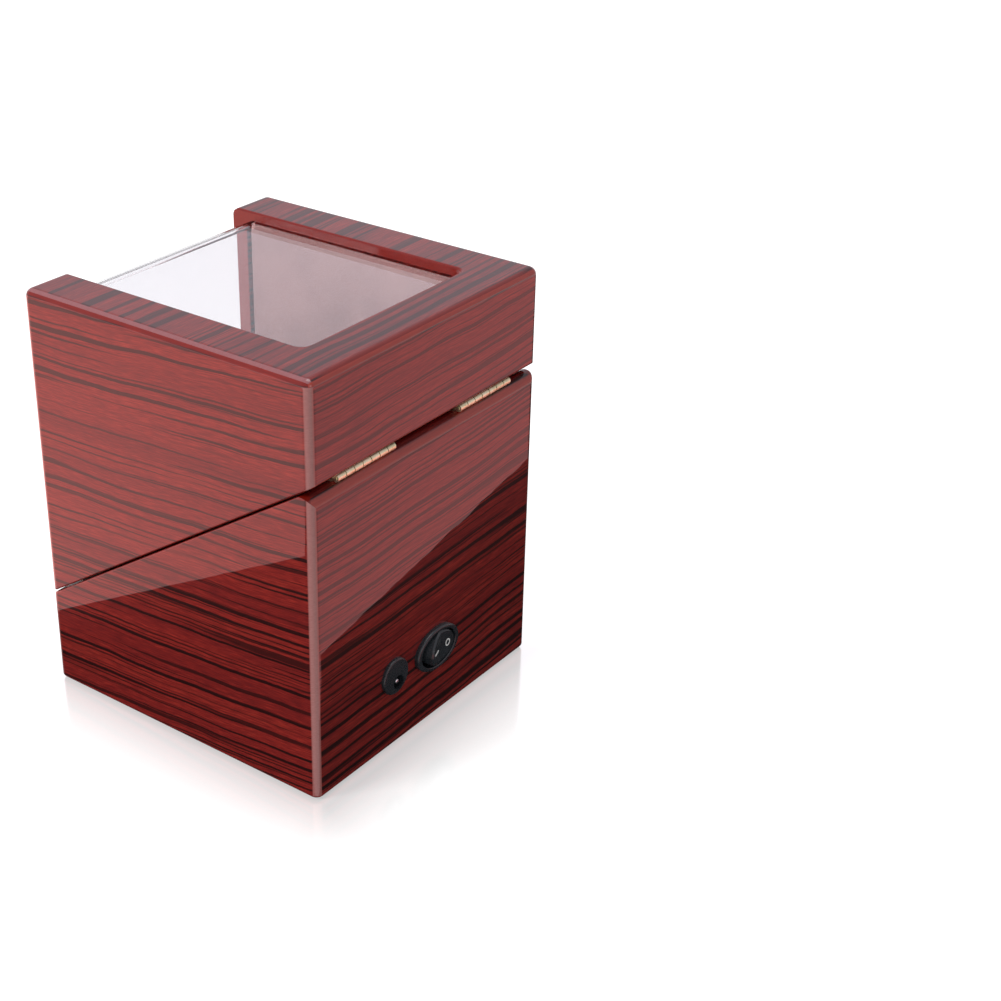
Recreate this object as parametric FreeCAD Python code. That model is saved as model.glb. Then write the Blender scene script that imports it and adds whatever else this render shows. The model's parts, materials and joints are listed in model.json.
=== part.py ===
import FreeCAD, Part
import math
import os

V = FreeCAD.Vector

# Closed box, mm. The felt sheet stands a little proud under the wood.
WIDTH = 136.0
DEPTH = 137.5
HEIGHT = 170.0
FELT_PROUD = 0.5
FELT_INSET = 5.0
EDGE_R = 3.3
FOOT_R = 1.5
RIM_R = 0.6

# Slanted cut between base and lid, by its height on the back and front faces
CUT_BACK = 130.2
CUT_FRONT = 39.8
CUT_GAP = 0.7
BASE_BACK_R = 4.5
LID_BACK_R = 1.2

# Boards, window and linings
BOARD = 12.0
BOTTOM_T = 8.0
BLOCK = 10.0
TOP_T = 6.9
STILE_T = 5.75
OPENING_HALF = 47.2
OPENING_BACK = 48.9
OPENING_R = 4.0
OPENING_EDGE_R = 0.8
RAIL_TOP = 52.0
PANE_T = 3.0
PANE_DROP = 3.8
PANE_BEND_R = 6.0
PANE_LAP = 5.6
PANE_FOOT = 47.0
LINING_R = 1.4
LINING_LIP = 4.0
LIP_PLAY = 0.4
LIP_SETBACK = 3.0

# Hinges, on an axis behind the cut
HINGE_Y = 66.3
HINGE_Z = 127.6
HINGE_INNER = 19.5
HINGE_OUTER = 52.3
KNUCKLES = 7
KNUCKLE_R = 1.5
KNUCKLE_GAP = 0.4
HINGE_PIN_R = 0.75
HINGE_PLAY = 0.05
LEAF_T = 0.8
LEAF_W = 10.2
LEAF_SCREW_R = 0.8
LEAF_HEAD_R = 1.55

# Platform and turning cup, on an axis square to the cut
CUP_S = 4.8
PLATFORM_DROP = 4.0
PLATFORM_T = 7.8
VELVET_T = 1.2
PLATFORM_HOLE_R = 41.2
CLEAT_W = 6.0
CLEAT_H = 8.0
CUP_R = 40.0
CUP_WALL = 2.5
CUP_FLOOR_T = 3.0
CUP_BOTTOM = -28.0
RING_UNDER = -3.9
RING_TOP = -2.2
RING_R = 43.5
AXLE_R = 4.0
AXLE_FLANGE_R = 12.0
AXLE_FLANGE_T = 1.5
AXLE_END = -43.0
RUNNING = 0.05

# Watch cushion and the foam insert that holds it
CUSHION_X = 58.0
CUSHION_S = 43.0
CUSHION_CORNER_R = 13.0
CUSHION_TOP = 19.0
CUSHION_FOOT = -22.0
CUSHION_CROWN_R = 9.0
CUSHION_PLAY = 0.5
INSERT_TOP = -7.0

# Gear pair
MODULE = 1.0
PRESSURE = math.radians(20.0)
GEAR_TEETH = 64
PINION_TEETH = 16
ADDENDUM = 0.9
DEDENDUM = 1.2
TOOTH_THINNING = 0.12
GEAR_T = 4.4
PINION_TOP = -28.6
PINION_FOOT = -33.0
CENTRES = MODULE * (GEAR_TEETH + PINION_TEETH) / 2
MOTOR_X = -CENTRES

# Motor bracket and geared motor
BRACKET_TOP = -34.0
BRACKET_T = 2.0
BRACKET_HALF_X = 50.5
BRACKET_HALF_S = 19.0
STANDOFF_X = 46.0
STANDOFF_S = 14.0
STANDOFF_R = 3.5
BUSH_R = 6.5
BUSH_FLANGE_R = 9.0
BUSH_END = -40.0
GEARBOX_R = 12.5
GEARBOX_T = 11.0
MOTOR_R = 12.0
MOTOR_T = 13.0
SHAFT_R = 2.0

# Oval switch and power socket on the back face. Ovals are half sizes across and up.
SWITCH_X = -4.0
SWITCH_Z = 31.8
BEZEL = (13.2, 9.1)
BEZEL_T = 2.0
SWITCH_HOLE = (11.5, 8.1)
WELL = (10.8, 7.5)
PIVOT_IN = 3.2
ROCKER = (9.3, 6.9)
ROCKER_VEE = 5.245
ROCKER_TILT = 10.0
ROCKER_CHAMFER = 0.71
PANEL_T = 3.0
SWITCH_POCKET_R = 13.5
SOCKET_X = 22.3
SOCKET_Z = 32.1
SOCKET_R = 7.5
SOCKET_T = 1.5
BORE_X = 21.0
BORE_Z = 29.0
BORE_R = 3.0
BORE_DEPTH = 10.5
BARREL_R = 4.0
SOCKET_PIN_R = 1.0
SOCKET_POCKET_R = 10.0

# Control board
PCB_X = 19.0
PCB_Y = -32.0
PCB_W = 50.0
PCB_D = 36.0
PCB_T = 1.6
PCB_POST = 5.0
LEAD_R = 0.7

# Derived
A = WIDTH / 2
B = DEPTH / 2
SLOPE = math.atan2(CUT_BACK - CUT_FRONT, DEPTH)
CUT_Z = (CUT_BACK + CUT_FRONT) / 2
TILT = FreeCAD.Placement(V(0, 0, CUT_Z), FreeCAD.Rotation(V(1, 0, 0), math.degrees(SLOPE)))
DOWN_SLOPE = V(0, -math.cos(SLOPE), -math.sin(SLOPE))
HALF_GAP = CUT_GAP / 2
IN_X = A - BOARD
IN_Y = B - BOARD
FLOOR_Z = FELT_PROUD + BOTTOM_T
PANE_TOP = HEIGHT - PANE_DROP
PANE_UNDER = PANE_TOP - PANE_T
PANE_FRONT = -B + STILE_T
PLATFORM_TOP = -HALF_GAP - PLATFORM_DROP
PLATFORM_UNDER = PLATFORM_TOP - VELVET_T - PLATFORM_T
CUP_FLOOR = CUP_BOTTOM + CUP_FLOOR_T
BRACKET_UNDER = BRACKET_TOP - BRACKET_T
HINGE = TILT.inverse().multVec(V(0, HINGE_Y, HINGE_Z))
PIVOT_Y = B - PIVOT_IN
# The raised end of the rocker is the rearmost point, and the origin is under the middle of the whole
REAR_REACH = 4.953
SHIFT = V(0, -REAR_REACH / 2, 0)


def box(x0, x1, y0, y1, z0, z1):
    return Part.makeBox(x1 - x0, y1 - y0, z1 - z0, V(x0, y0, z0))


def rod(r, x, y, z0, z1):
    return Part.makeCylinder(r, z1 - z0, V(x, y, z0))


def peg(r, x, z, y0, y1):
    return Part.makeCylinder(r, y1 - y0, V(x, y0, z), V(0, 1, 0))


def spindle(r, x0, x1, y, z):
    return Part.makeCylinder(r, x1 - x0, V(x0, y, z), V(1, 0, 0))


def oval(half, x, z, y0, y1):
    """Elliptical peg along y, half[0] across and half[1] up."""
    ring = Part.Ellipse(V(x, y0, z), half[0], half[1]).toShape()
    face = Part.Face(Part.Wire([ring])).rotate(V(x, y0, z), V(1, 0, 0), 90)
    return face.extrude(V(0, y1 - y0, 0))


def tilted(shape):
    return shape.transformed(TILT.Matrix, True)


def mirrored(shape):
    return shape.mirror(V(0, 0, 0), V(1, 0, 0))


def prism(points, z0, z1):
    corners = [V(x, y, z0) for x, y in points]
    return Part.Face(Part.makePolygon(corners + corners[:1])).extrude(V(0, 0, z1 - z0))


def joined(shapes):
    return shapes[0].fuse(shapes[1:]).removeSplitter()


def edges_where(shape, test):
    return [e for e in shape.Edges if test(e.BoundBox)]


def rounded_block(half_x, half_y, corner_r, z0, z1):
    block = box(-half_x, half_x, -half_y, half_y, z0, z1)
    upright = edges_where(block, lambda b: b.ZLength > 0.9 * (z1 - z0))
    return block.makeFillet(corner_r, upright)


def screw(head_r, shank_r, length, slotted=True):
    """Flat-head screw pointing down from a head flush with z = 0."""
    body = Part.makeCone(shank_r, head_r, head_r - shank_r, V(0, 0, shank_r - head_r))
    body = body.fuse(rod(shank_r, 0, 0, -length, shank_r - head_r)).removeSplitter()
    if slotted:
        reach = 0.6 * head_r
        slot = 0.14 * head_r
        deep = 0.35 * head_r
        body = body.cut(box(-reach, reach, -slot, slot, -deep, 1))
        body = body.cut(box(-slot, slot, -reach, reach, -deep, 1))
    return body


def at(shape, x, y, z, flip=False):
    turn = FreeCAD.Rotation(V(1, 0, 0), 180 if flip else 0)
    return shape.transformed(FreeCAD.Placement(V(x, y, z), turn).Matrix, True)


def envelope():
    block = box(-A, A, -B, B, FELT_PROUD, HEIGHT)
    block = block.makeFillet(EDGE_R, edges_where(block, lambda b: b.ZMax > FELT_PROUD + 1))
    return block.makeFillet(FOOT_R, edges_where(block, lambda b: b.ZMax < FELT_PROUD + 0.1))


def rounded_edge(shape, apex, along, back, r):
    """Rounds the long back edge at apex, where faces run off in two directions, with an arc of radius r."""
    half = along.getAngle(back) / 2
    inward = (along + back).normalize()
    start = V(-A - 5, 0, 0)
    t1 = apex + along * (r / math.tan(half)) + start
    t2 = apex + back * (r / math.tan(half)) + start
    mid = apex + inward * (r / math.sin(half) - r) + start
    far = apex - inward + start
    wire = Part.Wire([Part.Arc(t1, mid, t2).toShape(), Part.makeLine(t2, far), Part.makeLine(far, t1)])
    return shape.cut(Part.Face(wire).extrude(V(WIDTH + 10, 0, 0)))


def rim_edges(shape, w):
    """Outer edges of the cut face."""
    flat = TILT.inverse().Matrix
    found = []
    for e in shape.Edges:
        local = e.copy().transformed(flat, True).BoundBox
        if abs(local.ZMin - w) < 1e-3 and abs(local.ZMax - w) < 1e-3:
            found.append(e)
    return found


def base_envelope():
    solid = envelope().cut(above_cut(-HALF_GAP))
    solid = solid.makeFillet(RIM_R, rim_edges(solid, -HALF_GAP))
    apex = V(0, B, CUT_BACK - HALF_GAP / math.cos(SLOPE))
    return rounded_edge(solid, apex, V(0, 0, -1), DOWN_SLOPE, BASE_BACK_R)


def lid_envelope():
    solid = envelope().common(above_cut(HALF_GAP))
    solid = solid.makeFillet(RIM_R, rim_edges(solid, HALF_GAP))
    apex = V(0, B, CUT_BACK + HALF_GAP / math.cos(SLOPE))
    return rounded_edge(solid, apex, V(0, 0, 1), DOWN_SLOPE, LID_BACK_R)


def wall_regions():
    """Mitred wall regions in plan: right, back, left, front."""
    outer = [(A + 5, -B - 5), (A + 5, B + 5), (-A - 5, B + 5), (-A - 5, -B - 5)]
    inner = [(IN_X, -IN_Y), (IN_X, IN_Y), (-IN_X, IN_Y), (-IN_X, -IN_Y)]
    walls = []
    for i in range(4):
        j = (i + 1) % 4
        walls.append(prism([outer[i], outer[j], inner[j], inner[i]], -5, HEIGHT + 5))
    return walls


def top_region():
    high = Part.makePolygon([V(x, y, HEIGHT + 5) for x, y in loop(A + 5, B + 5)])
    low = Part.makePolygon([V(x, y, HEIGHT - TOP_T) for x, y in loop(A - TOP_T, B - TOP_T)])
    return Part.makeLoft([low, high], True, True)


def loop(half_x, half_y):
    return [(half_x, -half_y), (half_x, half_y), (-half_x, half_y), (-half_x, -half_y), (half_x, -half_y)]


def leaf_spans():
    return [(HINGE_INNER, HINGE_OUTER), (-HINGE_OUTER, -HINGE_INNER)]


def leaf_screw_spots():
    return [(x0 + (x1 - x0) * part, HINGE.y - 6.4) for x0, x1 in leaf_spans() for part in (0.2, 0.8)]


def base_leaf_w():
    return HINGE.z - 0.47, HINGE.z - 0.47 + LEAF_T


def lid_leaf_w():
    return HINGE.z + 0.7, HINGE.z + 0.7 + LEAF_T


def base_hinge_cut():
    w0 = base_leaf_w()[0]
    cuts = [box(x0, x1, HINGE.y - LEAF_W, HINGE.y + 3, w0, 3) for x0, x1 in leaf_spans()]
    top = base_leaf_w()[1]
    holes = [at(screw(LEAF_HEAD_R, LEAF_SCREW_R, 8.0, False), x, s, top) for x, s in leaf_screw_spots()]
    return tilted(joined(cuts + holes))


def lid_hinge_cut():
    w1 = lid_leaf_w()[1]
    cuts = [box(x0, x1, HINGE.y - LEAF_W, HINGE.y, -3, w1) for x0, x1 in leaf_spans()]
    cuts += [spindle(KNUCKLE_R + 0.4, x0, x1, HINGE.y, HINGE.z) for x0, x1 in leaf_spans()]
    low = lid_leaf_w()[0]
    holes = [at(screw(LEAF_HEAD_R, LEAF_SCREW_R, 5.0, False), x, s, low, True) for x, s in leaf_screw_spots()]
    return tilted(joined(cuts + holes))


def hinge_leaves(on_lid):
    w0, w1 = lid_leaf_w() if on_lid else base_leaf_w()
    bore = HINGE_PIN_R + (HINGE_PLAY if on_lid else 0)
    head = w0 if on_lid else w1
    length = 5.0 if on_lid else 8.0
    leaves = []
    for x0, x1 in leaf_spans():
        pitch = (x1 - x0) / KNUCKLES
        leaf = box(x0, x1, HINGE.y - LEAF_W, HINGE.y, w0, w1)
        for i in range(KNUCKLES):
            a = x0 + i * pitch
            b = a + pitch
            play = KNUCKLE_GAP / 2
            if (i % 2 == 1) == on_lid:
                leaf = leaf.fuse(spindle(KNUCKLE_R, a + play, b - play, HINGE.y, HINGE.z))
            else:
                leaf = leaf.cut(spindle(KNUCKLE_R + 0.4, a - play, b + play, HINGE.y, HINGE.z))
        leaf = leaf.cut(spindle(bore, x0 - 1, x1 + 1, HINGE.y, HINGE.z))
        for x, s in leaf_screw_spots():
            leaf = leaf.cut(at(screw(LEAF_HEAD_R, LEAF_SCREW_R, length, False), x, s, head, on_lid))
        leaves.append(leaf.removeSplitter())
    return tilted(Part.makeCompound(leaves))


def hinge_pins():
    pins = [spindle(HINGE_PIN_R, x0, x1, HINGE.y, HINGE.z) for x0, x1 in leaf_spans()]
    return tilted(Part.makeCompound(pins))


def hinge_screws(on_lid):
    head = lid_leaf_w()[0] if on_lid else base_leaf_w()[1]
    one = screw(LEAF_HEAD_R, LEAF_SCREW_R, 5.0 if on_lid else 8.0)
    return tilted(Part.makeCompound([at(one, x, s, head, on_lid) for x, s in leaf_screw_spots()]))


def base_boards():
    solid = base_envelope().cut(base_hinge_cut())
    right, back, left, front = [solid.common(w) for w in wall_regions()]
    y1 = B - PANEL_T
    back = back.cut(oval(SWITCH_HOLE, SWITCH_X, SWITCH_Z, 0, B + 5))
    back = back.cut(peg(SWITCH_POCKET_R, SWITCH_X, SWITCH_Z, 0, y1))
    back = back.cut(peg(BARREL_R, BORE_X, BORE_Z, 0, B + 5))
    back = back.cut(peg(SOCKET_POCKET_R, BORE_X, BORE_Z, 0, y1))
    return right, back, left, front


def block_spots():
    return [(sx * (IN_X - BLOCK / 2), sy * (IN_Y - BLOCK / 2)) for sx in (-1, 1) for sy in (-1, 1)]


def bottom_screw_tool(slotted):
    return [at(screw(3.0, 1.5, 16.0, slotted), x, y, FELT_PROUD, True) for x, y in block_spots()]


def bottom_board():
    board = box(-IN_X, IN_X, -IN_Y, IN_Y, FELT_PROUD, FLOOR_Z)
    return board.cut(bottom_screw_tool(False))


def glue_blocks():
    half = BLOCK / 2
    blocks = [box(x - half, x + half, y - half, y + half, FLOOR_Z, FLOOR_Z + 18) for x, y in block_spots()]
    return Part.makeCompound([b.cut(bottom_screw_tool(False)) for b in blocks])


def base_felt():
    return box(-A + FELT_INSET, A - FELT_INSET, -B + FELT_INSET, B - FELT_INSET, 0, FELT_PROUD)


def rim_bumpers():
    return tilted(Part.makeCompound([rod(3.5, x, -74, -HALF_GAP, HALF_GAP - 0.15) for x in (-62, 62)]))


def opening():
    tool = box(-OPENING_HALF, OPENING_HALF, -B - 5, OPENING_BACK, HEIGHT - TOP_T - 5, HEIGHT + 5)
    corners = edges_where(tool, lambda b: b.ZLength > 10 and b.YMin > 0)
    return tool.makeFillet(OPENING_R, corners)


def pane_profile(extra):
    """Bent pane over top and front, its edges grown by extra for the seat that takes it."""
    half = OPENING_HALF + PANE_LAP + extra
    outer = box(-half, half, PANE_FRONT, OPENING_BACK + PANE_LAP + extra, PANE_FOOT - extra, PANE_TOP)
    bend = edges_where(outer, lambda b: b.XLength > half and b.YMax < 0 and b.ZMin > HEIGHT - 10)
    outer = outer.makeFillet(PANE_BEND_R, bend)
    inner = box(-half - 1, half + 1, PANE_FRONT + PANE_T, B, 0, PANE_UNDER)
    bend = edges_where(inner, lambda b: b.XLength > half and b.YMax < 0 and b.ZMin > HEIGHT - 12)
    return outer.cut(inner.makeFillet(PANE_BEND_R - PANE_T, bend))


def lid_boards():
    solid = lid_envelope().cut(lid_hinge_cut()).cut(pane_profile(0.1))
    top = top_region()
    frame = solid.common(top).cut(opening())
    frame = frame.cut(box(-OPENING_HALF, OPENING_HALF, -B - 5, OPENING_BACK - OPENING_R, 0, PANE_TOP))
    lip = edges_where(frame, lambda b: b.ZMin > HEIGHT - 0.01 and b.YMax < OPENING_BACK + 0.1
                      and max(abs(b.XMin), abs(b.XMax)) < OPENING_HALF + 0.1)
    frame = frame.makeFillet(OPENING_EDGE_R, lip)
    walls = solid.cut(top)
    mitre = [(A - STILE_T, -B + STILE_T), (A + 5, -B - 5)]
    right = walls.common(prism([(A + 5, B + 5), (IN_X, IN_Y), (IN_X, -B + STILE_T)] + mitre, -5, HEIGHT))
    back = walls.common(wall_regions()[1])
    inner = [(OPENING_HALF, -B - 5), (OPENING_HALF, -B + STILE_T)]
    stile = walls.common(prism(inner + mitre, -5, HEIGHT))
    span = OPENING_HALF
    rail = walls.common(box(-span, span, -B - 5, -B + STILE_T, 0, RAIL_TOP))
    return frame, right, mirrored(right), back, stile, mirrored(stile), rail


def above_cut(w):
    return tilted(box(-300, 300, -300, 300, w, 300))


def lid_linings():
    """Velvet boards inside the lid. Each has a lip that drops inside the base and closes the gap."""
    lip = above_cut(HALF_GAP - LINING_LIP)
    board = above_cut(HALF_GAP)
    top = PANE_UNDER - 0.1
    front = PANE_FRONT + PANE_T + 0.1
    side = box(OPENING_HALF, IN_X, front, OPENING_BACK, 0, top).common(board)
    low = box(OPENING_HALF, IN_X - LIP_PLAY, LIP_SETBACK - IN_Y, OPENING_BACK, 0, top).common(lip)
    side = side.fuse(low).removeSplitter()
    bend = edges_where(side, lambda b: b.YMax < front + 0.01 and b.ZMin > top - 0.01)
    side = side.makeFillet(PANE_BEND_R - PANE_T + 0.3, bend)
    side = side.makeFillet(LINING_R, edges_where(side, lambda b: b.XMax < OPENING_HALF + 0.01))
    back = box(-IN_X, IN_X, OPENING_BACK, IN_Y, 0, top).common(board)
    low = box(LIP_PLAY - IN_X, IN_X - LIP_PLAY, OPENING_BACK, IN_Y - LIP_PLAY, 0, top).common(lip)
    back = back.fuse(low).removeSplitter()
    face = edges_where(back, lambda b: b.YMax < OPENING_BACK + 0.01 and b.ZMin > top - 0.01)
    back = back.makeFillet(LINING_R, face)
    return side, mirrored(side), back


def platform_slab(w0, w1):
    slab = tilted(box(-300, 300, -300, 300, w0, w1)).common(box(-IN_X, IN_X, -IN_Y, IN_Y, 0, HEIGHT))
    return slab.cut(tilted(rod(PLATFORM_HOLE_R, 0, CUP_S, w0 - 1, w1 + 1)))


def standoff_spots():
    return [(sx * STANDOFF_X, CUP_S + ss * STANDOFF_S) for sx in (-1, 1) for ss in (-1, 1)]


def cleat_spots():
    return [(sx * (IN_X - CLEAT_W / 2), s) for sx in (-1, 1) for s in (-30, 34)]


def cleat_screws(slotted):
    one = screw(2.4, 1.2, 13.0, slotted)
    return [at(one, x, s, PLATFORM_UNDER - CLEAT_H, True) for x, s in cleat_spots()]


def standoff_studs():
    return [rod(1.5, x, s, PLATFORM_UNDER, PLATFORM_UNDER + 6) for x, s in standoff_spots()]


def platform_board():
    holes = tilted(Part.makeCompound(cleat_screws(False) + standoff_studs()))
    return platform_slab(PLATFORM_UNDER, PLATFORM_TOP - VELVET_T).cut(holes)


def platform_cleats():
    cleats = []
    for sx in (-1, 1):
        x0, x1 = sorted((sx * IN_X, sx * (IN_X - CLEAT_W)))
        cleats.append(box(x0, x1, -48, 52, PLATFORM_UNDER - CLEAT_H, PLATFORM_UNDER).cut(cleat_screws(False)))
    return tilted(Part.makeCompound(cleats))


def bracket_standoffs():
    posts = []
    for x, s in standoff_spots():
        post = rod(STANDOFF_R, x, s, BRACKET_TOP, PLATFORM_UNDER)
        post = post.fuse(rod(1.5, x, s, PLATFORM_UNDER, PLATFORM_UNDER + 6)).removeSplitter()
        posts.append(post.cut(rod(1.25, x, s, BRACKET_TOP - 1, BRACKET_TOP + 6)))
    return tilted(Part.makeCompound(posts))


def bracket_screws():
    screws = []
    for x, s in standoff_spots():
        head = rod(2.6, x, s, BRACKET_UNDER - 1.8, BRACKET_UNDER)
        shank = rod(1.25, x, s, BRACKET_UNDER, BRACKET_TOP + 6)
        slot = box(x - 3, x + 3, s - 0.4, s + 0.4, BRACKET_UNDER - 3, BRACKET_UNDER - 1.0)
        screws.append(head.fuse(shank).cut(slot))
    return tilted(Part.makeCompound(screws))


def motor_screw_spots():
    return [(MOTOR_X, CUP_S + s) for s in (-8.5, 8.5)]


def motor_bracket():
    plate = rounded_block(BRACKET_HALF_X, BRACKET_HALF_S, 5.0, BRACKET_UNDER, BRACKET_TOP)
    plate = at(plate, 0, CUP_S, 0)
    holes = [rod(BUSH_R, 0, CUP_S, -60, 0), rod(4.0, MOTOR_X, CUP_S, -60, 0)]
    holes += [rod(1.25, x, s, -60, 0) for x, s in standoff_spots()]
    holes += [rod(1.25, x, s, -60, 0) for x, s in motor_screw_spots()]
    holes += [rod(7.0, 26, CUP_S, -60, 0)]
    return tilted(plate.cut(holes))


def motor_screws():
    screws = []
    for x, s in motor_screw_spots():
        head = rod(2.3, x, s, BRACKET_TOP, BRACKET_TOP + 0.8)
        shank = rod(1.25, x, s, BRACKET_UNDER - 5, BRACKET_TOP)
        slot = box(x - 3, x + 3, s - 0.3, s + 0.3, BRACKET_TOP + 0.4, BRACKET_TOP + 2)
        screws.append(head.fuse(shank).cut(slot))
    return tilted(Part.makeCompound(screws))


def shaft_bush():
    bush = rod(BUSH_R, 0, CUP_S, BUSH_END, BRACKET_TOP)
    bush = bush.fuse(rod(BUSH_FLANGE_R, 0, CUP_S, BRACKET_TOP, BRACKET_TOP + 1))
    return tilted(bush.cut(rod(AXLE_R + RUNNING, 0, CUP_S, -60, 0)).removeSplitter())


def gearbox_housing():
    low = BRACKET_UNDER - GEARBOX_T
    body = rod(GEARBOX_R, MOTOR_X, CUP_S, low, BRACKET_UNDER)
    body = body.makeChamfer(0.8, edges_where(body, lambda b: b.ZLength < 0.01))
    body = body.fuse(rod(4.0, MOTOR_X, CUP_S, BRACKET_UNDER - 3, BRACKET_TOP))
    body = body.cut(rod(SHAFT_R + RUNNING, MOTOR_X, CUP_S, BRACKET_UNDER - 6, 0))
    return tilted(body.cut([rod(1.25, x, s, BRACKET_UNDER - 5, 0) for x, s in motor_screw_spots()]))


def motor_can():
    top = BRACKET_UNDER - GEARBOX_T
    body = rod(MOTOR_R, MOTOR_X, CUP_S, top - MOTOR_T, top)
    return tilted(body.makeChamfer(0.6, edges_where(body, lambda b: b.ZMax < top - 1)))


def motor_cap():
    top = BRACKET_UNDER - GEARBOX_T - MOTOR_T
    cap = rod(MOTOR_R - 2, MOTOR_X, CUP_S, top - 2, top)
    for x in (MOTOR_X - 5, MOTOR_X + 5):
        cap = cap.fuse(box(x - 1, x + 1, CUP_S - 0.25, CUP_S + 0.25, top - 5, top - 2))
    return tilted(cap)


def spur_gear(teeth, z0, z1, turn):
    """Spur gear round the z axis with involute flanks and one tooth centred at angle turn."""
    pitch_r = MODULE * teeth / 2
    base_r = pitch_r * math.cos(PRESSURE)
    tip_r = pitch_r + ADDENDUM * MODULE
    root_r = pitch_r - DEDENDUM * MODULE
    start_r = max(base_r, root_r)
    at_pitch = math.pi / (2 * teeth) - TOOTH_THINNING / (2 * pitch_r) + math.tan(PRESSURE) - PRESSURE

    def half_angle(r):
        roll = math.acos(min(1.0, base_r / r))
        return at_pitch - (math.tan(roll) - roll)

    def point(r, angle):
        return V(r * math.cos(angle), r * math.sin(angle), z0)

    mid_r = (start_r + tip_r) / 2
    step = 2 * math.pi / teeth
    edges = []
    for i in range(teeth):
        c = turn + i * step
        foot = half_angle(start_r)
        rise = [point(r, c - half_angle(r)) for r in (start_r, mid_r, tip_r)]
        fall = [point(r, c + half_angle(r)) for r in (tip_r, mid_r, start_r)]
        if root_r < start_r:
            edges.append(Part.makeLine(point(root_r, c - foot), rise[0]))
        edges.append(Part.Arc(*rise).toShape())
        edges.append(Part.Arc(rise[2], point(tip_r, c), fall[0]).toShape())
        edges.append(Part.Arc(*fall).toShape())
        if root_r < start_r:
            edges.append(Part.makeLine(fall[2], point(root_r, c + foot)))
        ends = [point(root_r, a) for a in (c + foot, c + step / 2, c + step - foot)]
        edges.append(Part.Arc(*ends).toShape())
    return Part.Face(Part.Wire(edges)).extrude(V(0, 0, z1 - z0))


def gear_screw_spots():
    angles = [math.radians(a) for a in (90, 210, 330)]
    return [(18 * math.cos(a), CUP_S + 18 * math.sin(a)) for a in angles]


def gear_screw_tool(slotted):
    return [at(screw(3.2, 1.5, 6.4, slotted), x, s, CUP_BOTTOM - GEAR_T, True) for x, s in gear_screw_spots()]


def drum_gear():
    disc = at(spur_gear(GEAR_TEETH, CUP_BOTTOM - GEAR_T, CUP_BOTTOM, 0), 0, CUP_S, 0)
    return tilted(disc.cut([rod(AXLE_R, 0, CUP_S, -60, 0)] + gear_screw_tool(False)))


def drum_gear_screws():
    return tilted(Part.makeCompound(gear_screw_tool(True)))


def drum_cup():
    cup = rod(CUP_R, 0, CUP_S, CUP_BOTTOM, RING_UNDER)
    cup = cup.makeFillet(1.5, edges_where(cup, lambda b: b.ZMax < CUP_BOTTOM + 0.1))
    cup = cup.cut(rod(CUP_R - CUP_WALL, 0, CUP_S, CUP_FLOOR, 0))
    return tilted(cup.cut([rod(AXLE_R, 0, CUP_S, -60, 0)] + gear_screw_tool(False)))


def drum_ring():
    ring = rod(RING_R, 0, CUP_S, RING_UNDER, RING_TOP)
    ring = ring.cut(rod(CUP_R - CUP_WALL - 0.7, 0, CUP_S, RING_UNDER - 1, 0))
    return tilted(ring.makeFillet(0.7, edges_where(ring, lambda b: b.ZMin > RING_TOP - 0.1)))


def drum_insert():
    foam = rod(CUP_R - CUP_WALL, 0, CUP_S, CUP_FLOOR, INSERT_TOP)
    half_x = CUSHION_X / 2 + CUSHION_PLAY
    half_s = CUSHION_S / 2 + CUSHION_PLAY
    pocket = rounded_block(half_x, half_s, CUSHION_CORNER_R + CUSHION_PLAY, CUSHION_FOOT, 0)
    foam = foam.cut(at(pocket, 0, CUP_S, 0))
    return tilted(foam.cut(rod(AXLE_FLANGE_R + 0.1, 0, CUP_S, -60, CUP_FLOOR + AXLE_FLANGE_T + 0.1)))


def drum_axle():
    axle = rod(AXLE_R, 0, CUP_S, AXLE_END, CUP_FLOOR)
    axle = axle.fuse(rod(AXLE_FLANGE_R, 0, CUP_S, CUP_FLOOR, CUP_FLOOR + AXLE_FLANGE_T)).removeSplitter()
    return tilted(axle.cut(clip_ring()))


def clip_ring():
    ring = rod(AXLE_R + 3, 0, CUP_S, BUSH_END - 1.0, BUSH_END - 0.2)
    return ring.cut(rod(AXLE_R - 0.8, 0, CUP_S, -60, 0))


def axle_clip():
    return tilted(clip_ring().cut(box(-2.0, 2.0, CUP_S, CUP_S + 10, -60, 0)))


def motor_pinion():
    teeth = at(spur_gear(PINION_TEETH, PINION_FOOT, PINION_TOP, math.pi / PINION_TEETH), MOTOR_X, CUP_S, 0)
    return tilted(teeth.cut(shaft_solid()))


def shaft_solid():
    shaft = rod(SHAFT_R, MOTOR_X, CUP_S, BRACKET_UNDER - 5.8, PINION_TOP)
    flat = box(MOTOR_X - 5, MOTOR_X + 5, CUP_S + SHAFT_R - 0.5, CUP_S + 5, PINION_FOOT, 0)
    return shaft.cut(flat)


def gearbox_shaft():
    return tilted(shaft_solid())


def watch_cushion():
    pad = rounded_block(CUSHION_X / 2, CUSHION_S / 2, CUSHION_CORNER_R, CUSHION_FOOT, CUSHION_TOP)
    pad = pad.makeFillet(CUSHION_CROWN_R, edges_where(pad, lambda b: b.ZMin > CUSHION_TOP - 0.1))
    pad = pad.makeFillet(3.0, edges_where(pad, lambda b: b.ZMax < CUSHION_FOOT + 0.1))
    return tilted(at(pad, 0, CUP_S, 0))


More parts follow.
